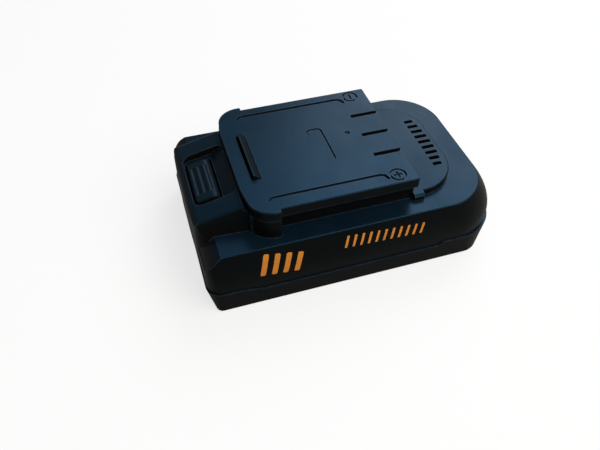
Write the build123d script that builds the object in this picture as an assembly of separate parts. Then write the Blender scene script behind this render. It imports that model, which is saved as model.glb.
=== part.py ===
from build123d import *
import math
import os

# Power tool battery pack, millimetres. X runs along the pack from the release button to the vents,
# Y across it, Z up. The origin is the centre of the underside.

# Cells, whose standard size sets the casing's
cell_count = 6
cell_diameter = 18.4
cell_length = 65.0
cell_gap = 0.1
cell_lift = 0.7
cell_nub_radius = 3.0
cell_nub_height = 0.8
cell_crimp_radius = 0.5
cell_crimp_inset = 3.2
cell_room_left = 8.6
cell_room_right = 10.1
cell_room_side = 7.1

# Casing, outside
deck_room = 5.2
waist_rise = 6.4
parting_height = 9.4
parting_jog = 1.8
base_left_inset = 3.5
base_right_inset = 7.2
base_side_inset = 0.6
lip_left_inset = 0.5
seam_left_inset = 0.9
seam_right_inset = 1.6
seam_side_inset = 0.7
waist_left_inset = 0.9
waist_right_inset = 1.2
waist_side_inset = 0.4
deck_left_inset = 1.2
deck_right_inset = 7.1
deck_side_inset = 2.8
base_left_radius = 2.7
base_right_radius = 9.4
seam_left_radius = 6.0
seam_right_radius = 19.4
deck_left_radius = 3.5
deck_right_radius = 20.0
deck_edge_round = 0.6
base_edge_chamfer = 0.5
shoulder_run = 6.4
shoulder_drop = 7.6
shoulder_bulge = 0.5

# Parting line steps, measured from the ends
parting_step_left = 14.4
parting_step_left_run = 8.9
parting_step_right = 28.4
parting_step_right_run = 2.0

# Walls and clearances
wall = 2.2
floor_thickness = 2.2
bevel_wall = 3.0
roof_thickness = 2.0
clearance = 0.3
thread_clearance = 0.03
overrun = 1.0

# Rail plate
plate_setback = 20.3
plate_length = 68.5
plate_side_inset = 8.5
plate_rise = 13.5
plate_thickness = 4.6
plate_edge_chamfer = 0.35
ear_step = 1.8
ear_length = 12.2
ear_left_slant = 2.0
ear_straight_half = 16.6
ear_radius = 9.5
ear_step_radius = 0.6
groove_depth = 1.0
groove_width = 1.3
groove_front_inset = 6.2
groove_rear_inset = 4.9
groove_left_inset = 10.5
groove_right_inset = 14.4
groove_hook = 1.2
groove_curl_x = 2.5
groove_curl_y = 2.6
groove_curl_shares = (0.7, 0.3)
terminal_slot_spacing = 13.0
terminal_slot_width = 2.0
terminal_slot_length = 12.2
latch_slot_inset = 5.6
latch_slot_length = 4.0
mark_circle_end_inset = 7.5
mark_circle_side_inset = 4.5
mark_circle_radius = 3.5
mark_line_width = 0.9
mark_line_depth = 0.7
mark_arm = 1.9
frame_line_inset = 40.9
frame_line_front_y = -10.5
frame_line_rear_y = 9.2
frame_line_return = 6.0
frame_line_drop = 2.6
frame_line_bend = 1.6
gate_mark_inset = 51.1
gate_mark_y = 3.2
gate_mark_radius = 1.2

# Neck, platform and rail stops
neck_inset = 1.3
rail_overhang = 3.2
platform_setback = 17.9
platform_radius = 17.6
platform_height = 2.9
platform_edge_round = 0.7
stop_length = 4.3
stop_width = 2.4
stop_chamfer = 1.0
vent_count = 9
vent_pitch = 3.67
vent_width = 2.0
vent_inset = 7.7
vent_middle_length = 5.9
vent_end_length = 4.0
vent_corner = 0.4

# Release button housing
housing_side_inset = 13.2
housing_draft = 2.8
housing_left_rise = 5.9
housing_right_rise = 10.75
housing_seam = 0.2
housing_edge_round = 4.2
housing_corner_radius = 4.0
housing_bow = 0.8
housing_bow_half = 10.0
housing_bow_radius = 160.0
housing_shoulder_round = 1.8
housing_taper_run = 6.8
housing_taper = 2.2
pocket_setback = 3.1
pocket_gap = 0.4
pocket_side_inset = 8.9
pocket_rise = 4.0
pocket_climb = 2.2
pocket_rim_drop = 0.85
pocket_slope_gap = 0.5
pocket_corner_radius = 3.2
well_drop = 1.1

# Latch: button pad, carrier and hook in one moulding
latch_travel = 3.0
pad_setback = 3.7
pad_length = 10.6
pad_side_inset = 2.9
pad_left_rise = 1.8
pad_right_rise = 2.1
pad_round = 1.4
pad_right_round = 3.2
pad_groove_count = 3
pad_groove_pitch = 2.7
pad_groove_first = 2.2
pad_groove_inset = 3.8
pad_groove_radius = 1.6
pad_groove_depth = 0.35
carrier_inset = 0.7
carrier_thickness = 2.5
carrier_overhang = 1.7
hook_rise = 2.0
hook_gap = 0.9
hook_flat = 0.6
arm_width = 5.0
arm_thickness = 2.2
arm_stop_gap = 0.5
arm_end = 2.5
spring_peg_radius = 1.1
spring_peg_height = 1.2

# Latch springs
spring_coil_radius = 1.75
spring_wire = 0.5
spring_turns = 3
spring_pocket_radius = 2.3
spring_seat_drop = 2.8

# Cell holders
holder_depth = 8.0
holder_side = 1.0
holder_corner_chamfer = 6.0
holder_foot_chamfer = 1.0
holder_clearance = 0.15
post_radius = 2.4
post_height = 1.5
post_inset = 5.6

# Nickel strips and insulation
strip_thickness = 0.3
strip_width = 8.0
strip_overlap = 5.0
riser_width = 3.0
run_reach = 3.2
band_height = 3.0
band_gap = 2.4
band_edge_gap = 0.6
board_solder_gap = 0.1
sheet_thickness = 0.3
sheet_margin = 2.0

# Circuit board and its parts
board_left_end = 7.75
board_right_end = 5.75
board_side_inset = 3.5
board_thickness = 1.6
board_corner = 2.0
driver_length = 10.2
driver_width = 9.0
driver_height = 4.4
driver_inset = 10.0
driver_pitch = 13.0
chip_size = 7.0
chip_height = 1.2
chip_inset = 27.5
chip_side_inset = 15.0
capacitor_radius = 4.0
capacitor_height = 8.0
capacitor_inset = 21.0
capacitor_side_inset = 12.0
fuse_length = 11.0
fuse_width = 4.0
fuse_height = 3.2
fuse_inset = 12.5
fuse_y = 0.0
sensor_radius = 1.3
sensor_length = 4.5
sensor_lead_radius = 0.3
sensor_lead_spacing = 1.6

# Terminal block and contacts
block_inset = 14.6
block_end = 3.6
block_wall = 1.4
block_top_gap = 0.3
contact_leaf = 0.5
contact_gap = 1.0
contact_length = 9.0
contact_bay_width = 3.4
contact_mouth_width = 1.9
contact_base = 0.6
contact_top_gap = 1.0
blade_sill_rise = 3.1

# Screws
screw_radius = 1.1
screw_head_radius = 2.0
screw_head_height = 1.5
screw_recess_radius = 2.3
screw_hole_radius = 1.25
screw_tip_gap = 1.0
boss_rise = 8.3
left_boss_inset = 6.2
left_boss_side = 2.7
left_boss_radius = 2.4
left_seat_rise = 0.8
right_boss_inset = 5.2
right_boss_y = 11.0
right_boss_radius = 3.3
right_upper_boss_radius = 2.6
right_seat_drop = 3.8
small_screw_radius = 0.9
small_head_radius = 1.8
small_head_height = 1.2
board_screw_length = 6.0
plate_screw_length = 5.0
plate_screw_left_inset = 17.5
plate_screw_right_inset = 20.0
plate_screw_side_inset = 9.9

# Cells, casing and heights that follow
cell_radius = cell_diameter / 2
cell_half = cell_length / 2
cell_pitch = cell_diameter + cell_gap
cell_row = (cell_count - 1) * cell_pitch + cell_diameter
body_length = cell_row + cell_room_left + cell_room_right
body_width = cell_length + 2 * cell_room_side
left_end = -body_length / 2
right_end = body_length / 2
half_width = body_width / 2
cell_x = [left_end + cell_room_left + cell_radius + i * cell_pitch for i in range(cell_count)]
cell_axis_height = floor_thickness + cell_lift + cell_radius
bore_radius = cell_radius + holder_clearance
holder_top = cell_axis_height + cell_radius + cell_lift
holder_left = cell_x[0] - bore_radius - holder_side
holder_right = cell_x[-1] + bore_radius + holder_side
board_bottom = holder_top + post_height
board_top = board_bottom + board_thickness
deck_height = board_top + deck_room
deck_under = deck_height - wall
parting_corner_height = parting_height + parting_jog
waist_height = parting_corner_height + waist_rise
parting_step_left_outer = left_end + parting_step_left
parting_step_left_inner = parting_step_left_outer + parting_step_left_run
parting_step_right_outer = right_end - parting_step_right
parting_step_right_inner = parting_step_right_outer - parting_step_right_run
shoulder_x = left_end + deck_left_inset + shoulder_run

# Rail plate, neck and platform that follow
plate_left = left_end + plate_setback
plate_right = plate_left + plate_length
plate_half_width = half_width - plate_side_inset
plate_top = deck_height + plate_rise
plate_under = plate_top - plate_thickness
roof_under = plate_under - roof_thickness
ear_half_width = plate_half_width + ear_step
ear_right = plate_left + ear_length
groove_left = plate_left + groove_left_inset
groove_right = plate_right - groove_right_inset
groove_front_y = groove_front_inset - plate_half_width
groove_rear_y = plate_half_width - groove_rear_inset
latch_slot_left = plate_left + latch_slot_inset
latch_slot_right = latch_slot_left + latch_slot_length
mark_circle_x = plate_right - mark_circle_end_inset
mark_circle_y = plate_half_width - mark_circle_side_inset
frame_line_x = plate_left + frame_line_inset
gate_mark_x = plate_left + gate_mark_inset
neck_left = plate_left + neck_inset
neck_half_width = plate_half_width - rail_overhang
platform_right = right_end - platform_setback
platform_top = deck_height + platform_height
vent_left = platform_right - vent_inset

# Button, latch and springs that follow
housing_half_width = half_width - housing_side_inset
housing_top_half_width = housing_half_width - housing_draft
pocket_half_width = housing_top_half_width - pocket_side_inset
pad_half_width = pocket_half_width - pad_side_inset
pad_groove_length = 2 * (pad_half_width - pad_groove_inset)
carrier_half_width = pad_half_width + carrier_overhang
latch_slot_half_width = carrier_half_width + clearance
housing_top_left = deck_height + housing_left_rise
housing_top_right = deck_height + housing_right_rise
pad_left = left_end + pad_setback
pad_right = pad_left + pad_length
pocket_left = left_end + pocket_setback
pocket_right = plate_left - pocket_gap
pocket_floor = deck_height + pocket_rise
pocket_floor_right = pad_right + pocket_slope_gap
pocket_floor_high = pocket_floor + pocket_climb
pocket_rim = housing_top_right - pocket_rim_drop
button_well_ceiling = deck_height - well_drop
pad_top_left = pocket_floor + pad_left_rise
pad_top_right = pocket_floor_high + pad_right_rise
pad_hole_left = pad_left - clearance
pad_hole_right = pad_right + clearance
pad_hole_half = pad_half_width + clearance
hook_left = latch_slot_left + hook_gap
hook_right = latch_slot_right - clearance
carrier_left = pad_left + carrier_inset
carrier_top = button_well_ceiling - clearance
carrier_bottom = carrier_top - carrier_thickness
arm_bottom = holder_top + latch_travel + arm_stop_gap
spring_x = (cell_x[0] + cell_x[1]) / 2
spring_y = cell_half - holder_depth / 2
spring_seat_height = holder_top - spring_seat_drop
arm_reach = spring_y + arm_end

# Board, strips, block and screws that follow
post_left_x = (cell_x[1] + cell_x[2]) / 2
post_right_x = (cell_x[-2] + cell_x[-1]) / 2
post_y = cell_half - post_inset
board_left = post_left_x - board_left_end
board_right = post_right_x + board_right_end
board_half_width = cell_half - board_side_inset
band_low = cell_axis_height + strip_width / 2 + band_gap
driver_x = board_left + driver_inset
chip_x = board_left + chip_inset
chip_y = chip_side_inset - board_half_width
capacitor_x = board_left + capacitor_inset
capacitor_y = board_half_width - capacitor_side_inset
fuse_x = board_right - fuse_inset
block_left = plate_right - block_inset
block_right = plate_right - wall - clearance
block_half_width = terminal_slot_spacing + block_end
blade_sill = deck_height + blade_sill_rise
upper_boss_top = parting_corner_height + boss_rise
left_boss_x = left_end + left_boss_inset
left_boss_y = cell_half + left_boss_side
left_seat_height = floor_thickness + left_seat_rise
right_boss_x = right_end - right_boss_inset
right_seat_height = parting_corner_height - right_seat_drop
plate_screw_left_x = plate_left + plate_screw_left_inset
plate_screw_right_x = plate_right - plate_screw_right_inset
plate_screw_y = neck_half_width - plate_screw_side_inset


def block(x0, x1, y0, y1, z0, z1):
    """An upright box between two corners."""
    return Pos((x0 + x1) / 2, (y0 + y1) / 2, (z0 + z1) / 2) * Box(x1 - x0, y1 - y0, z1 - z0)


def column(x, y, z0, z1, radius):
    """An upright cylinder."""
    return Pos(x, y, (z0 + z1) / 2) * Cylinder(radius, z1 - z0)


def slab(outline, z0, z1):
    """A closed flat outline raised from one height to another."""
    return Pos(0, 0, z0) * extrude(make_face(outline), z1 - z0)


def side_prism(outline, y0, y1):
    """A closed outline drawn in X and Z, stretched from y0 to y1."""
    face = Plane.XZ * make_face(outline)
    return Pos(0, y1, 0) * extrude(face, y1 - y0)


def cut_all(body, tools):
    for tool in tools:
        body = body - tool
    return body


def join_all(pieces):
    body = pieces[0]
    for piece in pieces[1:]:
        body = body + piece
    return body


def rounded_box_outline(left, right, half, left_radius, right_radius):
    """Plan outline whose two ends have their own corner radius."""
    corners = [(right, -half), (right, half), (left, half), (left, -half)]
    radii = [right_radius, right_radius, left_radius, left_radius]
    return FilletPolyline(*corners, radius=radii, close=True)


def body_section(z, left_inset, right_inset, side_inset, left_radius, right_radius, depth=0):
    """Casing outline at one height, moved inwards by depth for the inside of the wall."""
    outline = rounded_box_outline(
        left_end + left_inset + depth,
        right_end - right_inset - depth,
        half_width - side_inset - depth,
        left_radius - depth if left_radius - depth > clearance else clearance,
        right_radius - depth,
    )
    return Pos(0, 0, z) * make_face(outline)


def upper_form(bottom, top, depth=0):
    """Bulging form above the parting line, at a depth inside the outer face."""
    sections = [
        body_section(bottom, seam_left_inset, seam_right_inset, seam_side_inset,
                     seam_left_radius, seam_right_radius, depth),
        body_section(waist_height, waist_left_inset, waist_right_inset, waist_side_inset,
                     seam_left_radius, seam_right_radius, depth),
        body_section(top, deck_left_inset, deck_right_inset, deck_side_inset,
                     deck_left_radius, deck_right_radius, depth),
    ]
    return loft(sections)


def lower_section(z, depth, bevel_depth, shrink=0):
    """Casing outline below the parting line, drawn in further along the bevelled end."""
    rest = 1 - z / parting_corner_height
    return body_section(z, lip_left_inset + (base_left_inset - lip_left_inset) * rest + shrink,
                        base_right_inset * rest + bevel_depth - depth + shrink,
                        base_side_inset * rest + shrink,
                        base_left_radius, base_right_radius, depth)


def lip_section(z, depth):
    return body_section(z, lip_left_inset, 0, 0, seam_left_radius, seam_right_radius, depth)


def lower_form():
    """Tapered form below the parting line, with its small bottom edge."""
    return loft([
        lower_section(0, 0, 0, base_edge_chamfer),
        lower_section(base_edge_chamfer, 0, 0),
        lip_section(parting_corner_height, 0),
    ], ruled=True)


def lower_hollow(bottom, depth, bevel_depth):
    return loft([
        lower_section(bottom, depth, bevel_depth),
        lip_section(parting_corner_height, depth),
    ], ruled=True)


def cavity():
    """Inside of both shells, a wall's thickness in from the outer face."""
    low = lower_hollow(floor_thickness, wall, bevel_wall)
    high = upper_form(parting_height, deck_under, wall)
    return low + high - shoulder_cut(wall)


def below_parting():
    """Everything under the stepped parting line."""
    far = body_length
    outline = Polyline(
        (-far, -overrun), (far, -overrun), (far, parting_corner_height),
        (parting_step_right_outer, parting_corner_height),
        (parting_step_right_inner, parting_height),
        (parting_step_left_inner, parting_height),
        (parting_step_left_outer, parting_corner_height),
        (-far, parting_corner_height), close=True,
    )
    return side_prism(outline, -body_width, body_width)


def shoulder_cut(depth=0):
    """Slanted, slightly bulging top corner along the button end, moved inwards by depth."""
    slant = math.hypot(shoulder_run, shoulder_drop)
    x = shoulder_x + depth * shoulder_drop / slant
    z = deck_height - depth * shoulder_run / slant
    foot = (x - shoulder_run, z - shoulder_drop)
    middle = (x - shoulder_run / 2 - shoulder_bulge, z - shoulder_drop / 2 + shoulder_bulge)
    far = left_end - overrun
    top = deck_height + overrun
    arc = ThreePointArc((x, z), middle, foot)
    rest = Polyline(foot, (far, foot[1]), (far, top), (x, top), (x, z))
    return side_prism(Wire(arc.edges() + rest.edges()), -half_width, half_width)


def housing_plan():
    """Plan of the button housing, tapered and bowed at its free end."""
    right = neck_left + wall
    half = housing_half_width
    narrow = half - housing_taper
    corners = [
        (right, -half), (right, half), (left_end + housing_taper_run, half), (left_end + housing_bow, narrow),
        (left_end, housing_bow_half), (left_end, -housing_bow_half),
        (left_end + housing_bow, -narrow), (left_end + housing_taper_run, -half),
    ]
    corner, bow = housing_corner_radius, housing_bow_radius
    return FilletPolyline(*corners, radius=[0, 0, corner, corner, bow, bow, corner, corner], close=True)


def housing_ridge():
    """Drafted sides and rounded shoulders of the housing, drawn square to its sloping top."""
    slope_end = plate_left - housing_seam
    run, rise = slope_end - left_end, housing_top_right - housing_top_left
    draft_drop = housing_top_right - deck_height
    section = FilletPolyline(
        (-housing_half_width, -deck_height), (housing_half_width, -deck_height),
        (housing_half_width, -draft_drop), (housing_top_half_width, 0),
        (-housing_top_half_width, 0), (-housing_half_width, -draft_drop),
        radius=[0, 0, 0, housing_shoulder_round, housing_shoulder_round, 0], close=True)
    along = Plane(origin=(slope_end, 0, housing_top_right), x_dir=(0, 1, 0), z_dir=(run, 0, rise))
    return extrude(along * make_face(section), body_length / 2, both=True)


def housing():
    """Raised block round the release button, sloping down to a rounded free end."""
    slope_end = plate_left - housing_seam
    corners = [
        (left_end + seam_left_inset, parting_corner_height), (left_end, waist_height),
        (left_end, housing_top_left), (slope_end, housing_top_right), (slope_end, plate_under),
        (neck_left + wall, plate_under), (neck_left + wall, parting_corner_height),
    ]
    radii = [0, 0, housing_edge_round, 0, 0, 0, 0]
    side = side_prism(FilletPolyline(*corners, radius=radii, close=True),
                      -housing_half_width, housing_half_width)
    return side & housing_ridge() & slab(housing_plan(), parting_corner_height, plate_top)


def plate_outline():
    """Rail plate in plan: straight rails, with a rounded ear at each corner of the button end."""
    left = plate_left
    corners = [
        (plate_right, -plate_half_width), (plate_right, plate_half_width),
        (ear_right, plate_half_width), (ear_right, ear_half_width),
        (left + ear_left_slant, ear_half_width), (left, ear_straight_half),
        (left, -ear_straight_half), (left + ear_left_slant, -ear_half_width),
        (ear_right, -ear_half_width), (ear_right, -plate_half_width),
    ]
    step = ear_step_radius
    radii = [step, step, 0, step, ear_radius, ear_radius, ear_radius, ear_radius, step, 0]
    return FilletPolyline(*corners, radius=radii, close=True)


def ear_posts():
    """Solid posts under the ears, from the deck to the plate."""
    posts = slab(plate_outline(), deck_under, plate_under)
    keep_front = block(neck_left + stop_chamfer, ear_right,
                       -ear_half_width - overrun, -neck_half_width + wall,
                       deck_under, plate_under)
    keep_rear = mirror(keep_front, about=Plane.XZ)
    return (posts & keep_front) + (posts & keep_rear)


def platform():
    outline = rounded_box_outline(plate_right - wall, platform_right, neck_half_width,
                                  clearance, platform_radius)
    solid = slab(outline, deck_under, platform_top)
    rim = solid.faces().sort_by(Axis.Z)[-1].edges().filter_by(lambda e: e.center().X > plate_right)
    return fillet(rim, platform_edge_round)


def rail_stops():
    """Small blocks on the deck where the rail groove ends, one each side."""
    front = block(plate_right, plate_right + stop_length, -neck_half_width - stop_width,
                  -neck_half_width + overrun, deck_under, platform_top)
    edge = front.edges().filter_by(Axis.X).sort_by(lambda e: e.center().Z - e.center().Y)[-1]
    front = chamfer(edge, stop_chamfer)
    return front + mirror(front, about=Plane.XZ)


def vent_slots():
    """Nine slots in a row, longest in the middle, with their left ends in line."""
    slots = []
    half_count = (vent_count - 1) / 2
    for i in range(vent_count):
        place = i - half_count
        share = (place / half_count) ** 2
        length = vent_middle_length + (vent_end_length - vent_middle_length) * share
        y = place * vent_pitch
        slot = block(vent_left, vent_left + length, y - vent_width / 2, y + vent_width / 2,
                     deck_under - wall, platform_top + overrun)
        slots.append(fillet(slot.edges().filter_by(Axis.Z), vent_corner))
    return slots


def pocket():
    """Finger recess round the button: a floor that climbs with the housing, then a sloping wall."""
    far = housing_top_right + overrun
    side = side_prism(
        Polyline((pocket_left, pocket_floor), (pocket_floor_right, pocket_floor_high),
                 (pocket_right, pocket_rim), (pocket_right, far), (pocket_left, far), close=True),
        -pocket_half_width, pocket_half_width)
    plan = slab(rounded_box_outline(pocket_left, pocket_right, pocket_half_width,
                                    pocket_corner_radius, pocket_corner_radius), pocket_floor, far)
    hole = block(pad_hole_left, pad_hole_right, -pad_hole_half, pad_hole_half,
                 button_well_ceiling - overrun, pocket_floor_high + overrun)
    return [side & plan, hole]


def upper_hollows():
    """Spaces inside the housing, the neck and the platform, over the main cavity."""
    well = block(left_end + wall, neck_left + wall, -pocket_half_width - wall, pocket_half_width + wall,
                 deck_height - shoulder_drop - wall, button_well_ceiling)
    flank_top = housing_top_left - wall
    flank_outer = housing_top_half_width - wall
    flank = block(shoulder_x - wall, plate_left - wall, pocket_half_width + wall, flank_outer,
                  deck_under - overrun, flank_top)
    neck = block(neck_left + wall, plate_right - wall, -neck_half_width + wall, neck_half_width - wall,
                 deck_under - overrun, roof_under)
    link = block(plate_left, neck_left + wall + overrun, -pocket_half_width, pocket_half_width,
                 deck_under - overrun, button_well_ceiling)
    nose = slab(rounded_box_outline(plate_right - wall - overrun, platform_right - wall,
                                    neck_half_width - wall, clearance, platform_radius - wall),
                deck_under - overrun, platform_top - wall)
    return [well, flank, mirror(flank, about=Plane.XZ), neck, link, nose]


def roof_openings():
    """Windows in the neck's roof for the hook and the terminals, and mouths for the tool's blades."""
    hook_window = block(latch_slot_left - clearance, latch_slot_right + clearance,
                        -latch_slot_half_width - clearance, latch_slot_half_width + clearance,
                        roof_under - overrun, plate_under + overrun)
    terminal_window = block(block_left - clearance, block_right + clearance,
                            -block_half_width - clearance, block_half_width + clearance,
                            roof_under - overrun, plate_under + overrun)
    mouths = [
        block(block_right - overrun, plate_right + overrun, y - contact_mouth_width / 2,
              y + contact_mouth_width / 2, blade_sill, plate_under + overrun)
        for y in terminal_places()
    ]
    holes = [column(x, y, roof_under - overrun, plate_under + overrun, small_screw_radius + thread_clearance)
             for x, y in plate_screw_places()]
    return [hook_window, terminal_window] + mouths + holes


def terminal_places():
    return [-terminal_slot_spacing, 0, terminal_slot_spacing]


def plate_screw_places():
    return [(x, y) for x in (plate_screw_left_x, plate_screw_right_x)
            for y in (-plate_screw_y, plate_screw_y)]


def board_screw_places():
    return [(x, y) for x in (post_left_x, post_right_x) for y in (-post_y, post_y)]


def casing_screw_places():
    left = [(left_boss_x, y, left_seat_height) for y in (-left_boss_y, left_boss_y)]
    right = [(right_boss_x, y, right_seat_height) for y in (-right_boss_y, right_boss_y)]
    return left + right


def upper_shell():
    form = upper_form(parting_height, deck_height)
    form = fillet(form.faces().sort_by(Axis.Z)[-1].edges(), deck_edge_round)
    form = form - shoulder_cut()
    neck = block(neck_left, plate_right, -neck_half_width, neck_half_width, deck_under, plate_under)
    form = join_all([form, housing(), neck, ear_posts(), platform(), rail_stops()])
    form = form - cavity()
    bosses = [column(left_boss_x, y, parting_corner_height, upper_boss_top, left_boss_radius)
              for y in (-left_boss_y, left_boss_y)]
    bosses += [column(right_boss_x, y, parting_corner_height, upper_boss_top, right_upper_boss_radius)
               for y in (-right_boss_y, right_boss_y)]
    form = join_all([form] + bosses)
    form = cut_all(form, upper_hollows() + vent_slots() + pocket() + roof_openings())
    form = cut_all(form, [column(x, y, parting_height, upper_boss_top - screw_tip_gap / 2,
                                 screw_radius + thread_clearance) for x, y, seat in casing_screw_places()])
    return form - below_parting()


def lower_shell():
    outside = lower_form()
    form = outside - lower_hollow(floor_thickness, wall, bevel_wall)
    bosses = [column(x, y, floor_thickness / 2, parting_corner_height, left_boss_radius)
              for x, y, seat in casing_screw_places()[:2]]
    bosses += [column(x, y, floor_thickness / 2, parting_corner_height, right_boss_radius)
               for x, y, seat in casing_screw_places()[2:]]
    form = join_all([form] + [boss & outside for boss in bosses])
    recesses = [column(x, y, -overrun, seat, screw_recess_radius) for x, y, seat in casing_screw_places()]
    holes = [column(x, y, 0, parting_corner_height + overrun, screw_hole_radius)
             for x, y, seat in casing_screw_places()]
    return cut_all(form, recesses + holes) & below_parting()


def trench(points, width, depth, top, bend=0):
    """A shallow line cut into a top face, along straight runs with bends of one radius."""
    line = FilletPolyline(*points, radius=bend) if bend else Polyline(*points)
    shape = make_face(offset(line, width / 2, kind=Kind.ARC, side=Side.BOTH))
    return Pos(0, 0, top - depth) * extrude(shape, depth + overrun)


def rail_grooves():
    """Long shallow grooves along both rails, hooked at the ends."""
    tools = []
    for y in (groove_front_y, groove_rear_y):
        points = [
            (groove_left - groove_hook, y - groove_hook), (groove_left, y), (groove_right, y),
            (groove_right + groove_curl_x * groove_curl_shares[0], y - groove_curl_y * groove_curl_shares[1]),
            (groove_right + groove_curl_x, y - groove_curl_y),
        ]
        tools.append(trench(points, groove_width, groove_depth, plate_top))
    return tools


def polarity_marks():
    """Circles with a plus and a minus sign, sunk into the plate by the outer terminals."""
    depth = mark_line_depth
    marks = []
    for y in (-mark_circle_y, mark_circle_y):
        ring = Circle(mark_circle_radius) - Circle(mark_circle_radius - mark_line_width)
        marks.append(Pos(mark_circle_x, y, plate_top - depth) * extrude(ring, depth + overrun))
        bar = block(mark_circle_x - mark_line_width / 2, mark_circle_x + mark_line_width / 2,
                    y - mark_arm, y + mark_arm, plate_top - depth, plate_top + overrun)
        marks.append(bar)
    cross = block(mark_circle_x - mark_arm, mark_circle_x + mark_arm, -mark_circle_y - mark_line_width / 2,
                  -mark_circle_y + mark_line_width / 2, plate_top - depth, plate_top + overrun)
    return marks + [cross]


def plate_lines():
    """Fine bare frame line and the small round gate mark in the middle of the plate."""
    frame = trench([(frame_line_x, frame_line_front_y), (frame_line_x, frame_line_rear_y),
                    (frame_line_x - frame_line_return, frame_line_rear_y),
                    (frame_line_x - frame_line_return, frame_line_rear_y - frame_line_drop)],
                   mark_line_width, mark_line_depth, plate_top, frame_line_bend)
    gate = Circle(gate_mark_radius) - Circle(gate_mark_radius - mark_line_width)
    return [frame, Pos(gate_mark_x, gate_mark_y, plate_top - mark_line_depth)
            * extrude(gate, mark_line_depth + overrun)]


def rail_plate():
    form = slab(plate_outline(), plate_under, plate_top)
    form = chamfer(form.faces().sort_by(Axis.Z)[-1].edges(), plate_edge_chamfer)
    latch_slot = block(latch_slot_left, latch_slot_right, -latch_slot_half_width, latch_slot_half_width,
                       plate_under - overrun, plate_top + overrun)
    blades = [block(plate_right - terminal_slot_length, plate_right + overrun, y - terminal_slot_width / 2,
                    y + terminal_slot_width / 2, plate_under - overrun, plate_top + overrun)
              for y in terminal_places()]
    pilots = [column(x, y, plate_under - overrun, plate_screw_tip() + screw_tip_gap / 2,
                     small_screw_radius + thread_clearance) for x, y in plate_screw_places()]
    return cut_all(form, [latch_slot] + blades + pilots + rail_grooves() + polarity_marks() + plate_lines())


def plate_screw_tip():
    return roof_under + plate_screw_length


def release_latch():
    """Button pad, sliding carrier, spring arms and the hook that stands through the plate."""
    pad_side = FilletPolyline(
        (pad_left, carrier_top - overrun), (pad_left, pad_top_left), (pad_right, pad_top_right),
        (pad_right, carrier_top - overrun), radius=[0, pad_round, pad_right_round, 0], close=True)
    pad = side_prism(pad_side, -pad_half_width, pad_half_width)
    pad = fillet(pad.edges().filter_by(Axis.Z).group_by(Axis.Z)[-1], pad_round)
    slope = math.degrees(math.atan2(pad_top_right - pad_top_left, pad_right - pad_left))
    for i in range(pad_groove_count):
        x = pad_left + pad_groove_first + i * pad_groove_pitch
        z = pad_top_left + (x - pad_left) * math.tan(math.radians(slope))
        height = z + pad_groove_radius - pad_groove_depth
        groove = Pos(x, 0, height) * Rot(90, 0, 0) * Cylinder(pad_groove_radius, pad_groove_length)
        pad = pad - groove
    carrier = block(carrier_left, hook_right, -carrier_half_width, carrier_half_width,
                    carrier_bottom, carrier_top)
    hook_top = plate_top + hook_rise
    hook_side = Polyline(
        (hook_left, carrier_bottom), (hook_left, hook_top), (hook_left + hook_flat, hook_top),
        (hook_right, plate_top), (hook_right, carrier_bottom), close=True)
    hook = side_prism(hook_side, -carrier_half_width, carrier_half_width)
    arm = block(spring_x - arm_width / 2, spring_x + arm_width / 2, -arm_reach, arm_reach,
                arm_bottom, arm_bottom + arm_thickness)
    pegs = [column(spring_x, y, arm_bottom - spring_peg_height, arm_bottom + overrun, spring_peg_radius)
            for y in (-spring_y, spring_y)]
    return join_all([pad, carrier, hook, arm] + pegs)


def latch_spring(y):
    """Compression spring from the holder's pocket to the latch arm."""
    bottom = spring_seat_height + spring_wire / 2
    height = arm_bottom - spring_seat_height - spring_wire
    path = Helix(height / spring_turns, height, spring_coil_radius)
    coil = sweep(Plane(origin=path @ 0, z_dir=path % 0) * Circle(spring_wire / 2), path=path, is_frenet=True)
    return Pos(spring_x, y, bottom) * coil


def cell(index):
    """One cylindrical cell lying across the pack, its raised end to the front on even places."""
    turn = 0 if index % 2 == 0 else 180
    can_length = cell_length - cell_nub_height
    profile = Polyline(
        (0, 0), (cell_radius, 0), (cell_radius, can_length - cell_crimp_inset - cell_crimp_radius),
        (cell_radius - cell_crimp_radius, can_length - cell_crimp_inset),
        (cell_radius, can_length - cell_crimp_inset + cell_crimp_radius), (cell_radius, can_length),
        (cell_nub_radius, can_length), (cell_nub_radius, cell_length), (0, cell_length), close=True)
    body = revolve(make_face(Plane.XZ * profile), axis=Axis.Z)
    lying = Rot(90, 0, 0) * Pos(0, 0, -cell_half) * body
    return Pos(cell_x[index], 0, cell_axis_height) * Rot(0, 0, turn) * lying


def cell_holder(side):
    """Frame round one end of the row of cells, with board posts and a spring seat."""
    outer, inner = cell_half, cell_half - holder_depth
    frame = block(holder_left, holder_right, inner, outer, floor_thickness, holder_top)
    corner = frame.edges().filter_by(Axis.Z).sort_by(lambda e: e.center().X + e.center().Y)[-1]
    frame = chamfer(corner, holder_corner_chamfer)
    foot = frame.edges().filter_by(Axis.Y).sort_by(lambda e: e.center().X - e.center().Z)[-1]
    frame = chamfer(foot, holder_foot_chamfer)
    posts = [column(x, post_y, holder_top - overrun, board_bottom, post_radius)
             for x in (post_left_x, post_right_x)]
    frame = join_all([frame] + posts)
    bores = [Pos(x, inner + holder_depth / 2, cell_axis_height) * Rot(90, 0, 0)
             * Cylinder(bore_radius, holder_depth + 2 * overrun) for x in cell_x]
    pilots = [column(x, post_y, board_top - board_screw_length - screw_tip_gap / 2, board_bottom + overrun,
                     small_screw_radius + thread_clearance) for x in (post_left_x, post_right_x)]
    seat = column(spring_x, spring_y, spring_seat_height, holder_top + overrun, spring_pocket_radius)
    frame = cut_all(frame, bores + pilots + [seat])
    return frame if side > 0 else mirror(frame, about=Plane.XZ)


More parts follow.
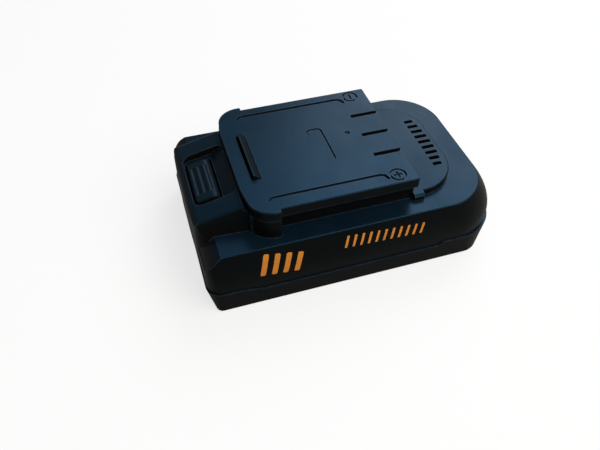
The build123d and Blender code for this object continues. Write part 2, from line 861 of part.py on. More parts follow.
def strip_plate(x0, x1, side):
    """Flat nickel strip on the cell ends of one side."""
    y0, y1 = sorted((side * cell_half, side * (cell_half + strip_thickness)))
    return block(x0, x1, y0, y1, cell_axis_height - strip_width / 2, cell_axis_height + strip_width / 2)


def strip_faces(side):
    return sorted((side * cell_half, side * (cell_half + strip_thickness)))


def riser(x, side, bottom):
    """Tab bent up from a strip and over the edge of the board."""
    y0, y1 = strip_faces(side)
    top = board_top + board_solder_gap + strip_thickness
    upright = block(x - riser_width / 2, x + riser_width / 2, y0, y1, bottom, top)
    inner = side * (board_half_width - run_reach)
    y0, y1 = sorted((side * (cell_half + strip_thickness), inner))
    return upright + block(x - riser_width / 2, x + riser_width / 2, y0, y1, top - strip_thickness, top)


def link_strip(first):
    """Strip that joins one cell to the next, on the rear for even pairs and the front for odd ones."""
    side = 1 if first % 2 == 0 else -1
    left, right = cell_x[first] - strip_overlap, cell_x[first + 1] + strip_overlap
    tap = right - riser_width / 2
    if tap > board_right - riser_width:
        tap = left + riser_width / 2
    return strip_plate(left, right, side) + riser(tap, side, cell_axis_height)


def end_strip(index):
    """Strip from an end cell, along above the other strips, to the board's power pads."""
    x = cell_x[index]
    reach = riser_width / 2
    tap = board_right - band_edge_gap - reach
    if index == 0:
        tap = board_left + band_edge_gap + reach
    near = x - strip_overlap + reach if tap < x else x + strip_overlap - reach
    y0, y1 = strip_faces(-1)
    x0, x1 = sorted((near, tap))
    upright = block(near - reach, near + reach, y0, y1, cell_axis_height, band_low + band_height)
    band = block(x0 - reach, x1 + reach, y0, y1, band_low, band_low + band_height)
    flat = strip_plate(x - strip_overlap, x + strip_overlap, -1)
    return join_all([flat, upright, band, riser(tap, -1, band_low)])


def insulation_sheet(side):
    """Thin sheet over the strips on one side of the cells."""
    inner = cell_half + strip_thickness
    y0, y1 = sorted((side * inner, side * (inner + sheet_thickness)))
    top = cell_axis_height + cell_radius - sheet_margin
    return block(cell_x[0] - cell_radius + sheet_margin, cell_x[-1] + cell_radius - sheet_margin, y0, y1,
                 floor_thickness + sheet_margin, top)


def circuit_board():
    outline = rounded_box_outline(board_left, board_right, board_half_width, board_corner, board_corner)
    form = slab(outline, board_bottom, board_top)
    holes = [column(x, y, board_bottom - overrun, board_top + overrun, small_screw_radius + thread_clearance)
             for x, y in board_screw_places()]
    return cut_all(form, holes)


def power_transistor(y):
    body = block(driver_x - driver_length / 2, driver_x + driver_length / 2, y - driver_width / 2,
                 y + driver_width / 2, board_top, board_top + driver_height)
    return chamfer(body.faces().sort_by(Axis.Z)[-1].edges(), clearance)


def control_chip():
    body = block(chip_x - chip_size / 2, chip_x + chip_size / 2, chip_y - chip_size / 2,
                 chip_y + chip_size / 2, board_top, board_top + chip_height)
    return chamfer(body.faces().sort_by(Axis.Z)[-1].edges(), clearance)


def capacitor():
    body = column(capacitor_x, capacitor_y, board_top, board_top + capacitor_height, capacitor_radius)
    return fillet(body.edges(), clearance)


def board_fuse():
    body = block(fuse_x - fuse_width / 2, fuse_x + fuse_width / 2, fuse_y - fuse_length / 2,
                 fuse_y + fuse_length / 2, board_top, board_top + fuse_height)
    return fillet(body.edges().filter_by(Axis.Y), clearance)


def temperature_sensor():
    """Bead in the valley between the two middle cells, on two leads from the board."""
    x = (cell_x[2] + cell_x[3]) / 2
    reach = math.sqrt((cell_radius + sensor_radius + holder_clearance) ** 2 - (cell_pitch / 2) ** 2)
    z = cell_axis_height + reach
    bead = Pos(x, 0, z) * Rot(90, 0, 0) * Cylinder(sensor_radius, sensor_length)
    leads = [column(x, y, z, board_bottom, sensor_lead_radius)
             for y in (-sensor_lead_spacing / 2, sensor_lead_spacing / 2)]
    return join_all([bead] + leads)


def terminal_block():
    top = plate_under - block_top_gap
    form = block(block_left, block_right, -block_half_width, block_half_width, board_top, top)
    bays = [block(block_left + block_wall, block_right + overrun, y - contact_bay_width / 2,
                  y + contact_bay_width / 2, board_top + block_wall, top + overrun)
            for y in terminal_places()]
    return cut_all(form, bays)


def terminal_contact(y):
    """Fork of two sprung leaves that grips one blade of the tool."""
    left = block_left + block_wall + clearance
    bottom = board_top + block_wall
    top = plate_under - block_top_gap - contact_top_gap
    inner = contact_gap / 2
    base = block(left, left + contact_length, y - inner - contact_leaf, y + inner + contact_leaf,
                 bottom, bottom + contact_base)
    leaf = block(left, left + contact_length, y + inner, y + inner + contact_leaf, bottom, top)
    leaf_low = block(left, left + contact_length, y - inner - contact_leaf, y - inner, bottom, top)
    return join_all([base, leaf, leaf_low])


def screw(x, y, seat, tip, head_radius, shank_radius, head_height, head_below):
    """Pan-head screw standing on its axis; the head lies below the seat or above it."""
    head_span = (seat - head_height, seat) if head_below else (seat, seat + head_height)
    head = column(x, y, head_span[0], head_span[1], head_radius)
    shank = column(x, y, min(seat, tip), max(seat, tip), shank_radius)
    face = head.faces().sort_by(Axis.Z)[0 if head_below else -1]
    head = fillet(face.edges(), head_height / 2)
    outer = head_span[0] if head_below else head_span[1]
    drive = head_height / 2
    slot = block(x - shank_radius, x + shank_radius, y - drive / 2, y + drive / 2,
                 outer - drive, outer + drive)
    cross = block(x - drive / 2, x + drive / 2, y - shank_radius, y + shank_radius,
                  outer - drive, outer + drive)
    return cut_all(head + shank, [slot, cross])


def casing_screws():
    tip = upper_boss_top - screw_tip_gap
    return Compound([screw(x, y, seat, tip, screw_head_radius, screw_radius, screw_head_height, True)
                     for x, y, seat in casing_screw_places()])


def board_screws():
    tip = board_top - board_screw_length
    return Compound([screw(x, y, board_top, tip, small_head_radius, small_screw_radius,
                           small_head_height, False)
                     for x, y in board_screw_places()])


def plate_screws():
    return Compound([screw(x, y, roof_under, plate_screw_tip(), small_head_radius, small_screw_radius,
                           small_head_height, True) for x, y in plate_screw_places()])


def all_parts():
    parts = {
        "upper_shell": upper_shell(),
        "lower_shell": lower_shell(),
        "rail_plate": rail_plate(),
        "release_latch": release_latch(),
        "latch_spring_front": latch_spring(-spring_y),
        "latch_spring_rear": latch_spring(spring_y),
        "cell_holder_front": cell_holder(-1),
        "cell_holder_rear": cell_holder(1),
        "insulation_sheet_front": insulation_sheet(-1),
        "insulation_sheet_rear": insulation_sheet(1),
        "positive_strip": end_strip(0),
        "negative_strip": end_strip(cell_count - 1),
        "circuit_board": circuit_board(),
        "control_chip": control_chip(),
        "capacitor": capacitor(),
        "board_fuse": board_fuse(),
        "temperature_sensor": temperature_sensor(),
        "terminal_block": terminal_block(),
        "casing_screws": casing_screws(),
        "board_screws": board_screws(),
        "plate_screws": plate_screws(),
    }
    for i in range(cell_count):
        parts[f"cell_{i + 1}"] = cell(i)
    for i in range(cell_count - 1):
        parts[f"link_strip_{i + 1}"] = link_strip(i)
    for name, y in zip(("positive", "signal", "negative"), terminal_places()):
        parts[f"{name}_contact"] = terminal_contact(y)
    for i, y in enumerate((-driver_pitch / 2, driver_pitch / 2)):
        parts[f"power_transistor_{i + 1}"] = power_transistor(y)
    return parts


os.makedirs("parts", exist_ok=True)
for name, shape in all_parts().items():
    export_step(shape, f"parts/{name}.step")
    print(name, round(shape.volume, 2))
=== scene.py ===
import bpy
import bmesh
import math
from mathutils import Matrix, Vector
from mathutils.bvhtree import BVHTree


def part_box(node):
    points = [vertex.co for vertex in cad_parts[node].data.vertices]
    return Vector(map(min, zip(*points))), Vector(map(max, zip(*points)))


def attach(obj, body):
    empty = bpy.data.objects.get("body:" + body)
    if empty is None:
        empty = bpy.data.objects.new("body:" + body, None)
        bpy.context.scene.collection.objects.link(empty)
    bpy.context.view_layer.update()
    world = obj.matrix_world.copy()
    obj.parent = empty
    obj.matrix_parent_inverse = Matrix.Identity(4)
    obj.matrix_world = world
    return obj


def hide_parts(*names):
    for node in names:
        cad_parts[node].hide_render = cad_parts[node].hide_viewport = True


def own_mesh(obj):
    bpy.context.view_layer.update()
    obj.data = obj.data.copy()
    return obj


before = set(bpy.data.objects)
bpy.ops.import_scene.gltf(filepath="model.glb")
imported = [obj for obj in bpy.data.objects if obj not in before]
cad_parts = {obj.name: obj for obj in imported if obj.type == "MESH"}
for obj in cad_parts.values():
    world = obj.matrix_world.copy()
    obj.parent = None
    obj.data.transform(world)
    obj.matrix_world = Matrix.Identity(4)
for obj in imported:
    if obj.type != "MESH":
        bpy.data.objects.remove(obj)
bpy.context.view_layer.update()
scene = bpy.context.scene
MM = 0.001


# Camera: place and axes in the part's frame

CAMERA_RIGHT = Vector((0.953497, -0.301173, 0.011776))
CAMERA_DOWN = Vector((-0.214283, -0.704849, -0.676218))
CAMERA_FORWARD = Vector((0.211959, 0.642248, -0.736607))
CAMERA_PLACE = Vector((-0.0736, -0.17888, 0.20192))
CAMERA_LENS = 36.0
CAMERA_SENSOR = 36.0
CAMERA_NEAREST = 0.01
PICTURE_WIDTH = 600
PICTURE_HEIGHT = 450

camera_data = bpy.data.cameras.new("camera")
camera_data.sensor_width = CAMERA_SENSOR
camera_data.lens = CAMERA_LENS
camera_data.clip_start = CAMERA_NEAREST
camera = bpy.data.objects.new("camera", camera_data)
scene.collection.objects.link(camera)
axes = zip(CAMERA_RIGHT, -CAMERA_DOWN, -CAMERA_FORWARD, CAMERA_PLACE)
camera.matrix_world = Matrix((*axes, (0, 0, 0, 1)))
scene.camera = camera
scene.render.resolution_x = PICTURE_WIDTH
scene.render.resolution_y = PICTURE_HEIGHT


# Node helpers

BEVEL_SAMPLES = 4


def new_material(name, base, rough, spec=0.5, metal=0.0):
    """Material with these values on its shader, with its node tree and shader."""
    mat = bpy.data.materials.new(name)
    mat.use_nodes = True
    nt = mat.node_tree
    bsdf = nt.nodes["Principled BSDF"]
    bsdf.inputs["Base Color"].default_value = (*base, 1.0)
    bsdf.inputs["Roughness"].default_value = rough
    bsdf.inputs["Specular IOR Level"].default_value = spec
    bsdf.inputs["Metallic"].default_value = metal
    return mat, nt, bsdf


def add_node(nt, kind, **values):
    node = nt.nodes.new(kind)
    for key, value in values.items():
        setattr(node, key, value)
    return node


def noise(nt, scale, detail, rough, stretch=None):
    """Noise in the piece's own metres, stretched where asked."""
    coord = add_node(nt, "ShaderNodeTexCoord")
    out = coord.outputs["Object"]
    if stretch:
        mapping = add_node(nt, "ShaderNodeMapping")
        mapping.inputs["Scale"].default_value = stretch
        nt.links.new(out, mapping.inputs["Vector"])
        out = mapping.outputs["Vector"]
    tex = add_node(nt, "ShaderNodeTexNoise")
    tex.inputs["Scale"].default_value = scale
    tex.inputs["Detail"].default_value = detail
    tex.inputs["Roughness"].default_value = rough
    nt.links.new(out, tex.inputs["Vector"])
    return tex.outputs["Fac"]


def ramp(nt, source, start, end, low, high):
    """Low up to start and high from end on, each a number or a colour."""
    node = add_node(nt, "ShaderNodeValToRGB")
    for element, position, value in zip(node.color_ramp.elements, (start, end), (low, high)):
        element.position = position
        element.color = (*value, 1.0) if isinstance(value, tuple) else (value, value, value, 1.0)
    nt.links.new(source, node.inputs["Fac"])
    return node.outputs["Color"]


def multiply(nt, first, second):
    """Product of an output and another output or a plain number."""
    node = add_node(nt, "ShaderNodeMath", operation="MULTIPLY")
    nt.links.new(first, node.inputs[0])
    if isinstance(second, float):
        node.inputs[1].default_value = second
    else:
        nt.links.new(second, node.inputs[1])
    return node.outputs["Value"]


def blend(nt, factor, first, second, kind="MIX"):
    """Colour between first and second, each an output or a plain colour."""
    node = add_node(nt, "ShaderNodeMix", data_type="RGBA", blend_type=kind)
    for name, value in (("Factor", factor), ("A", first), ("B", second)):
        if isinstance(value, tuple):
            node.inputs[name].default_value = (*value, 1.0)
        elif isinstance(value, float):
            node.inputs[name].default_value = value
        else:
            nt.links.new(value, node.inputs[name])
    return node.outputs["Result"]


def mix_shaders(nt, share, first, second, target):
    """First and second shader into the target, with this share of the second."""
    node = add_node(nt, "ShaderNodeMixShader")
    nt.links.new(share, node.inputs["Fac"])
    nt.links.new(first, node.inputs[1])
    nt.links.new(second, node.inputs[2])
    nt.links.new(node.outputs["Shader"], target)


def bump(nt, bsdf, source, distance):
    node = add_node(nt, "ShaderNodeBump")
    node.inputs["Distance"].default_value = distance
    node.inputs["Strength"].default_value = 1.0
    nt.links.new(source, node.inputs["Height"])
    nt.links.new(node.outputs["Normal"], bsdf.inputs["Normal"])


def edge_wear(nt, radius):
    """Above 0 only along edges, from the spread between the bevelled and the plain normal."""
    bevel = add_node(nt, "ShaderNodeBevel", samples=BEVEL_SAMPLES)
    bevel.inputs["Radius"].default_value = radius
    geometry = add_node(nt, "ShaderNodeNewGeometry")
    dot = add_node(nt, "ShaderNodeVectorMath", operation="DOT_PRODUCT")
    nt.links.new(bevel.outputs["Normal"], dot.inputs[0])
    nt.links.new(geometry.outputs["Normal"], dot.inputs[1])
    away = add_node(nt, "ShaderNodeMath", operation="SUBTRACT")
    away.inputs[0].default_value = 1.0
    nt.links.new(dot.outputs["Value"], away.inputs[1])
    return away.outputs["Value"]


def painted_sheen_mask(nt):
    """0 on walls and below, 1 on faces that look up, which get a painted sheen: a lighter, bluer colour.
    """
    geometry = add_node(nt, "ShaderNodeNewGeometry")
    split = add_node(nt, "ShaderNodeSeparateXYZ")
    nt.links.new(geometry.outputs["Normal"], split.inputs[0])
    return ramp(nt, split.outputs["Z"], start=0.55, end=0.97, low=0.0, high=1.0)


# Materials

WALL_BLACK = (0.0042, 0.0041, 0.0028)
SHINE_TINT = (0.08, 0.49, 1.0)      # cool reflections on the black plastic
WALL_SHINE = 0.5                    # share of that shine which walls have
DUST_COLOUR = (0.05, 0.054, 0.052)
DUST_COVER = 0.55                   # most that a speck hides of the plastic
WEAR_RADIUS = 0.8 * MM              # how far wear reaches from an edge
WEAR_LEAST = 0.3                    # share of wear that is left between its patches
WEAR_LIFT = 2.0                     # worn plastic's brightness over the painted top sheen colour
SMOOTHER = 0.06                     # handled spots are this much smoother than a black's own roughness
ROUGHER = 0.08                      # and untouched ones this much rougher
GLOSS_SPREAD = 0.08                 # the same either way, on all other materials
SMOOTHEST = 0.05
GRAIN_FINER = 8                     # scale of the grain over that of the tone
INK_DARK = 0.88
INK_LIGHT = 1.08
INK_LOST = 0.7                      # most that a pinhole shows of the plastic


def moulded_black(name, wall, top, rough, grain, mottle=0.2, spec=0.25, scuff=0.03):
    """Moulded black plastic: fine grain, a painted sheen that makes faces looking up lighter and bluer,
    scuffed edges and stray dust.
    """
    mat, nt, bsdf = new_material(name, wall, rough, spec)
    # Painted sheen: faces that look up blend from the wall colour to a lighter, bluer top colour
    painted_sheen_share = painted_sheen_mask(nt)
    body = blend(nt, painted_sheen_share, wall, top)

    tone = noise(nt, scale=38.0, detail=5.0, rough=0.6)
    shade = ramp(nt, tone, start=0.3, end=0.7, low=1 - mottle, high=1 + mottle)
    body = blend(nt, 1.0, body, shade, kind="MULTIPLY")

    edges = ramp(nt, edge_wear(nt, WEAR_RADIUS), start=0.015, end=0.14, low=0.0, high=1.0)
    patches = noise(nt, scale=420.0, detail=6.0, rough=0.7)
    spots = ramp(nt, patches, start=0.38, end=0.62, low=WEAR_LEAST, high=1.0)
    # Worn edges take a lighter shade of the painted top sheen colour
    scuffed = tuple(WEAR_LIFT * c + scuff for c in top)
    body = blend(nt, multiply(nt, edges, spots), body, scuffed)

    specks = noise(nt, scale=900.0, detail=3.0, rough=0.75)
    dust = ramp(nt, specks, start=0.735, end=0.79, low=0.0, high=DUST_COVER)
    body = blend(nt, dust, body, DUST_COLOUR)
    nt.links.new(body, bsdf.inputs["Base Color"])

    smudge = noise(nt, scale=55.0, detail=6.0, rough=0.65, stretch=(1.0, 0.55, 1.0))
    dull = ramp(nt, smudge, start=0.25, end=0.75, low=rough - SMOOTHER, high=rough + ROUGHER)
    nt.links.new(dull, bsdf.inputs["Roughness"])
    bump(nt, bsdf, noise(nt, scale=2600.0, detail=2.0, rough=0.5), grain)
    shine = ramp(nt, painted_sheen_share, start=0.0, end=1.0, low=WALL_SHINE * spec, high=spec)
    nt.links.new(shine, bsdf.inputs["Specular IOR Level"])
    bsdf.inputs["Specular Tint"].default_value = (*SHINE_TINT, 1.0)
    return mat


def mottled(name, base, rough, spread=0.12, scale=160.0, grain=0.02 * MM, metal=0.0, stretch=None):
    """Metal, paper, board or plain plastic: uneven tone and gloss, with a grain of its own."""
    mat, nt, bsdf = new_material(name, base, rough, metal=metal)
    tone = noise(nt, scale, detail=5.0, rough=0.6, stretch=stretch)
    dark = tuple(c * (1 - spread) for c in base)
    light = tuple(min(1.0, c * (1 + spread)) for c in base)
    nt.links.new(ramp(nt, tone, start=0.3, end=0.7, low=dark, high=light), bsdf.inputs["Base Color"])
    smooth = max(SMOOTHEST, rough - GLOSS_SPREAD)
    dull = min(1.0, rough + GLOSS_SPREAD)
    nt.links.new(ramp(nt, tone, start=0.2, end=0.8, low=smooth, high=dull), bsdf.inputs["Roughness"])
    bump(nt, bsdf, noise(nt, scale * GRAIN_FINER, detail=3.0, rough=0.6, stretch=stretch), grain)
    return mat


def printed_ink(name, base, worn, rough):
    """Screen-printed ink: slight unevenness, with pinholes that show the plastic."""
    mat, nt, bsdf = new_material(name, base, rough, spec=0.3)
    tone = noise(nt, scale=300.0, detail=4.0, rough=0.6)
    dark = tuple(INK_DARK * c for c in base)
    light = tuple(min(1.0, INK_LIGHT * c) for c in base)
    body = ramp(nt, tone, start=0.3, end=0.7, low=dark, high=light)
    pits = noise(nt, scale=1900.0, detail=3.0, rough=0.7)
    holes = ramp(nt, pits, start=0.70, end=0.78, low=0.0, high=INK_LOST)
    nt.links.new(blend(nt, holes, body, worn), bsdf.inputs["Base Color"])
    bump(nt, bsdf, noise(nt, scale=1500.0, detail=3.0, rough=0.6), 0.01 * MM)
    return mat


# In each black, top is a painted sheen colour, lighter and bluer, on faces that look up; wall is the
# plastic's own colour
mats = {
    "shell": moulded_black("shell_black", wall=WALL_BLACK, top=(0.0032, 0.0094, 0.0168),
                           rough=0.30, grain=0.022 * MM),
    "plate": moulded_black("plate_black", wall=(0.0042, 0.0044, 0.0044), top=(0.0024, 0.0120, 0.0240),
                           rough=0.30, grain=0.012 * MM, mottle=0.12),
    "latch": moulded_black("latch_black", wall=WALL_BLACK, top=(0.0042, 0.0095, 0.0140),
                           rough=0.38, grain=0.012 * MM, mottle=0.15, spec=0.18, scuff=0.002),
    "block": moulded_black("block_black", wall=(0.010, 0.010, 0.010), top=(0.012, 0.013, 0.014),
                           rough=0.5, grain=0.020 * MM),
    "part": moulded_black("part_black", wall=(0.012, 0.012, 0.012), top=(0.013, 0.013, 0.013),
                          rough=0.45, grain=0.010 * MM, mottle=0.1),
    "spring": mottled("spring_wire", (0.62, 0.62, 0.60), rough=0.25, metal=1.0, stretch=(1, 1, 8)),
    "screw": mottled("screw_zinc", (0.42, 0.42, 0.44), rough=0.35, metal=1.0),
    "nickel": mottled("nickel_strip", (0.62, 0.59, 0.54), rough=0.3, metal=1.0, stretch=(0.2, 1, 1)),
    "copper": mottled("contact_copper", (0.72, 0.43, 0.24), rough=0.3, metal=1.0),
    "sleeve": mottled("cell_sleeve_blue", (0.02, 0.11, 0.30), rough=0.28, spread=0.08, scale=60.0),
    "holder": mottled("holder_natural", (0.62, 0.61, 0.55), rough=0.55, spread=0.06, scale=80.0),
    "paper": mottled("fish_paper", (0.36, 0.47, 0.34), rough=0.85, spread=0.1, scale=500.0,
                     grain=0.04 * MM),
    "board": mottled("board_green", (0.012, 0.12, 0.045), rough=0.3, spread=0.15, scale=220.0,
                     grain=0.01 * MM),
    "can": mottled("capacitor_can", (0.68, 0.69, 0.70), rough=0.28, metal=1.0, stretch=(1, 1, 0.1)),
    "ceramic": mottled("fuse_ceramic", (0.80, 0.79, 0.74), rough=0.3, spread=0.04),
    "resin": mottled("sensor_resin", (0.03, 0.028, 0.025), rough=0.2, spread=0.1),
    "ink": printed_ink("printed_orange", (0.76, 0.27, 0.035), worn=WALL_BLACK, rough=0.42),
}

# Nodes that are neither named here nor cells are strips of nickel.
chosen = {
    "upper_shell": "shell", "lower_shell": "shell", "rail_plate": "plate", "release_latch": "latch",
    "latch_spring_front": "spring", "latch_spring_rear": "spring", "circuit_board": "board",
    "control_chip": "part", "power_transistor_1": "part", "power_transistor_2": "part",
    "capacitor": "can", "board_fuse": "ceramic", "temperature_sensor": "resin",
    "terminal_block": "block", "positive_contact": "copper", "signal_contact": "copper",
    "negative_contact": "copper", "casing_screws": "screw", "board_screws": "screw",
    "plate_screws": "screw", "cell_holder_front": "holder", "cell_holder_rear": "holder",
    "insulation_sheet_front": "paper", "insulation_sheet_rear": "paper",
}
for node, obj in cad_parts.items():
    key = chosen.get(node, "sleeve" if node.startswith("cell_") else "nickel")
    obj.data.materials.clear()
    obj.data.materials.append(mats[key])


def new_object(name, bm, material):
    """Object made from the built mesh, in the scene."""
    mesh = bpy.data.meshes.new(name)
    bm.to_mesh(mesh)
    bm.free()
    mesh.materials.append(material)
    obj = bpy.data.objects.new(name, mesh)
    scene.collection.objects.link(obj)
    return obj


# Latch springs, built at one length; the real ones shorten as the button goes down

SPRING_WIRE = 0.5 * MM
SPRING_FREE_TURNS = 3.0
SPRING_DEAD_TURNS = 1.0
SPRING_DEAD_PITCH = 0.6 * MM
STEPS_PER_TURN = 28
WIRE_SIDES = 10


def spring_rise(turn, height):
    """Height of the wire's centre after so many turns: close at both ends, open between."""
    free = height - SPRING_WIRE - 2 * SPRING_DEAD_TURNS * SPRING_DEAD_PITCH
    low = min(turn, SPRING_DEAD_TURNS) * SPRING_DEAD_PITCH
    middle = min(max(turn - SPRING_DEAD_TURNS, 0.0), SPRING_FREE_TURNS) * free / SPRING_FREE_TURNS
    high = max(turn - SPRING_DEAD_TURNS - SPRING_FREE_TURNS, 0.0) * SPRING_DEAD_PITCH
    return SPRING_WIRE / 2 + low + middle + high


def wound_spring(name, node):
    """A coil with closed ends in the place of the node's plain one."""
    low, high = (Vector(p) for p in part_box(node))
    centre = (low + high) / 2
    height = high.z - low.z
    radius = (high.x - low.x - SPRING_WIRE) / 2
    turns = SPRING_FREE_TURNS + 2 * SPRING_DEAD_TURNS
    count = int(turns * STEPS_PER_TURN)

    def point(step):
        angle = 2 * math.pi * step / STEPS_PER_TURN
        rise = spring_rise(max(0.0, step / STEPS_PER_TURN), height)
        return Vector((centre.x + radius * math.cos(angle), centre.y + radius * math.sin(angle),
                       low.z + rise))

    bm = bmesh.new()
    rings = []
    for step in range(count + 1):
        here = point(step)
        along = (point(step + 1) - point(step - 1)).normalized()
        outward = Vector((here.x - centre.x, here.y - centre.y, 0)).normalized()
        across = along.cross(outward).normalized()
        ring = []
        for side in range(WIRE_SIDES):
            angle = 2 * math.pi * side / WIRE_SIDES
            offset = outward * math.cos(angle) + across * math.sin(angle)
            ring.append(bm.verts.new(here + offset * SPRING_WIRE / 2))
        rings.append(ring)
    for first, second in zip(rings, rings[1:]):
        for side in range(WIRE_SIDES):
            after = (side + 1) % WIRE_SIDES
            bm.faces.new((first[side], first[after], second[after], second[side]))
    bm.faces.new(rings[0])
    bm.faces.new(rings[-1])
    bmesh.ops.recalc_face_normals(bm, faces=bm.faces)
    obj = new_object(name, bm, mats["spring"])
    for face in obj.data.polygons:
        face.use_smooth = len(face.vertices) == 4
    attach(obj, "pack")
    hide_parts(node)
    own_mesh(obj)


wound_spring("wound_spring_front", "latch_spring_front")
wound_spring("wound_spring_rear", "latch_spring_rear")


# Printed bars on the long front wall. A field's corners are x and z in millimetres: top left,
# top right, bottom left, bottom right.

LARGE_FIELD = ((-43.3, 28.2), (-25.4, 25.2), (-43.3, 17.4), (-25.4, 15.4))
SMALL_FIELD = ((-8.7, 27.6), (25.9, 25.4), (-8.7, 21.9), (25.9, 20.4))
INK_PROUD = 0.05 * MM
INK_SUNK = 0.03 * MM
BAR_COLUMNS = 8
BAR_ROWS = 14
BEFORE_WALL = -100 * MM

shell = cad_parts["upper_shell"].data
wall_tree = BVHTree.FromPolygons(
    [v.co.copy() for v in shell.vertices], [tuple(p.vertices) for p in shell.polygons])


def on_wall(x, z, lift):
    """Point of the front wall at x and z in millimetres, lifted along the wall's normal."""
    hit, normal, _, _ = wall_tree.ray_cast(Vector((x * MM, BEFORE_WALL, z * MM)), Vector((0, 1, 0)))
    return hit + normal * lift


def spot(corners, u, t):
    """Point of a field, at share u of its width from the left and t of its height from the top."""
    return tuple((1 - t) * ((1 - u) * top_left + u * top_right) + t * ((1 - u) * low_left + u * low_right)
                 for top_left, top_right, low_left, low_right in zip(*corners))


def printed_bar(bm, corners, corner_radius):
    """One slanted bar with rounded corners, wrapped over the wall."""
    (tlx, tlz), (trx, trz), (blx, blz), (brx, brz) = corners
    height = 0.5 * ((tlz - blz) + (trz - brz))
    width = 0.5 * ((trx - tlx) + (brx - blx))
    top, low = [], []
    for j in range(BAR_ROWS + 1):
        t = 0.5 - 0.5 * math.cos(math.pi * j / BAR_ROWS)
        edge = min(t, 1 - t) * height
        inset = 0.0
        if edge < corner_radius:
            inset = corner_radius - math.sqrt(max(0.0, corner_radius ** 2 - (corner_radius - edge) ** 2))
        margin = inset / width
        shares = [margin + (1 - 2 * margin) * i / BAR_COLUMNS for i in range(BAR_COLUMNS + 1)]
        points = [spot(corners, u, t) for u in shares]
        top.append([bm.verts.new(on_wall(x, z, INK_PROUD)) for x, z in points])
        low.append([bm.verts.new(on_wall(x, z, -INK_SUNK)) for x, z in points])
    for j in range(BAR_ROWS):
        for i in range(BAR_COLUMNS):
            bm.faces.new((top[j][i], top[j + 1][i], top[j + 1][i + 1], top[j][i + 1]))
            bm.faces.new((low[j][i], low[j][i + 1], low[j + 1][i + 1], low[j + 1][i]))
        bm.faces.new((top[j][0], low[j][0], low[j + 1][0], top[j + 1][0]))
        bm.faces.new((top[j][-1], top[j + 1][-1], low[j + 1][-1], low[j][-1]))
    for i in range(BAR_COLUMNS):
        bm.faces.new((top[0][i], top[0][i + 1], low[0][i + 1], low[0][i]))
        bm.faces.new((top[-1][i], low[-1][i], low[-1][i + 1], top[-1][i + 1]))


def bar_row(name, field, count, width, reach, slant, corner_radius):
    """Slanted bars spread evenly over a field of the wall. Width, reach and slant are its shares."""
    bm = bmesh.new()
    for i in range(count):
        start = i * (reach - width) / (count - 1)
        end = start + width
        corners = (spot(field, start + slant, 0), spot(field, end + slant, 0),
                   spot(field, start, 1), spot(field, end, 1))
        printed_bar(bm, corners, corner_radius)
    bmesh.ops.recalc_face_normals(bm, faces=bm.faces)
    obj = new_object(name, bm, mats["ink"])
    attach(obj, "pack")


bar_row("printed_bars_large", LARGE_FIELD, count=4, width=0.12, reach=0.885, slant=0.115,
        corner_radius=0.5)
bar_row("printed_bars_small", SMALL_FIELD, count=11, width=0.030, reach=0.965, slant=0.035,
        corner_radius=0.3)


# Plain white floor and backdrop

FLOOR_SIZE = 4.0
FLOOR_DROP = 0.2 * MM
FLOOR_ROUGH = 0.9
FLOOR_SEEN = (0.86, 0.86, 0.86)
FLOOR_UNSEEN = (0.20, 0.19, 0.16)
FLOOR_WHITE_SHARE = 0.74
MIRRORED_WHITE_SHARE = 0.08
SKY_COLOUR = (1.0, 0.98, 0.92)
SKY_STRENGTH = 0.14
BACKDROP_COLOUR = (0.97, 0.97, 0.97)


def white_share(nt, path, seen):
    """Share of plain white: for the camera's rays, and less in reflections and behind glass."""
    share = multiply(nt, path.outputs["Is Camera Ray"], seen)
    for ray in ("Is Glossy Ray", "Is Transmission Ray"):
        node = add_node(nt, "ShaderNodeMath", operation="MULTIPLY_ADD")
        nt.links.new(path.outputs[ray], node.inputs[0])
        node.inputs[1].default_value = MIRRORED_WHITE_SHARE
        nt.links.new(share, node.inputs[2])
        share = node.outputs["Value"]
    return share


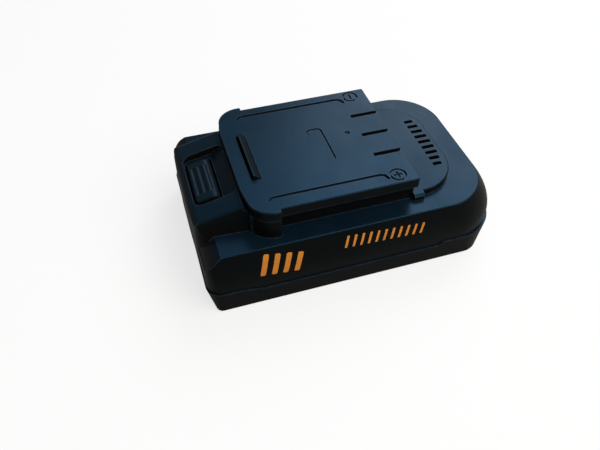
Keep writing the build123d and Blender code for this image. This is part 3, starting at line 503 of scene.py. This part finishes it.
def white_floor():
    """Large white plane under the part, which keeps its shadow."""
    mat, nt, surface = new_material("floor_white", FLOOR_SEEN, FLOOR_ROUGH)
    path = add_node(nt, "ShaderNodeLightPath")
    tone = blend(nt, path.outputs["Is Camera Ray"], FLOOR_UNSEEN, FLOOR_SEEN)
    nt.links.new(tone, surface.inputs["Base Color"])
    glow = add_node(nt, "ShaderNodeEmission")
    glow.inputs["Color"].default_value = (1, 1, 1, 1)
    mix_shaders(nt, white_share(nt, path, FLOOR_WHITE_SHARE), surface.outputs["BSDF"],
                glow.outputs["Emission"], nt.nodes["Material Output"].inputs["Surface"])
    bm = bmesh.new()
    bmesh.ops.create_grid(bm, x_segments=2, y_segments=2, size=FLOOR_SIZE)
    floor = new_object("floor", bm, mat)
    floor.location = (0, 0, -FLOOR_DROP)


def white_world():
    """Dim warm light from all sides, behind a white backdrop."""
    world = bpy.data.worlds.new("studio")
    scene.world = world
    world.use_nodes = True
    nt = world.node_tree
    soft = nt.nodes["Background"]
    soft.inputs["Color"].default_value = (*SKY_COLOUR, 1.0)
    soft.inputs["Strength"].default_value = SKY_STRENGTH
    backdrop = add_node(nt, "ShaderNodeBackground")
    backdrop.inputs["Color"].default_value = (*BACKDROP_COLOUR, 1.0)
    path = add_node(nt, "ShaderNodeLightPath")
    mix_shaders(nt, white_share(nt, path, 1.0), soft.outputs["Background"],
                backdrop.outputs["Background"], nt.nodes["World Output"].inputs["Surface"])


white_floor()
white_world()


# Soft lights

LIGHT_TARGET = Vector((0, 0, 0.02))


def area_light(name, location, size, power, colour):
    """Square light at a place, turned to the part."""
    data = bpy.data.lights.new(name, "AREA")
    data.shape = "RECTANGLE"
    data.size = size
    data.size_y = size
    data.energy = power
    data.color = colour
    obj = bpy.data.objects.new(name, data)
    obj.location = location
    obj.rotation_euler = (LIGHT_TARGET - Vector(location)).to_track_quat("-Z", "Y").to_euler()
    scene.collection.objects.link(obj)


area_light("window", (0.70, 0.79, 1.20), size=1.05, power=13.5, colour=(0.90, 0.96, 1.0))
area_light("front", (0.60, -0.72, 1.18), size=1.4, power=24.0, colour=(1.0, 0.98, 0.94))
scene.view_settings.view_transform = "Standard"
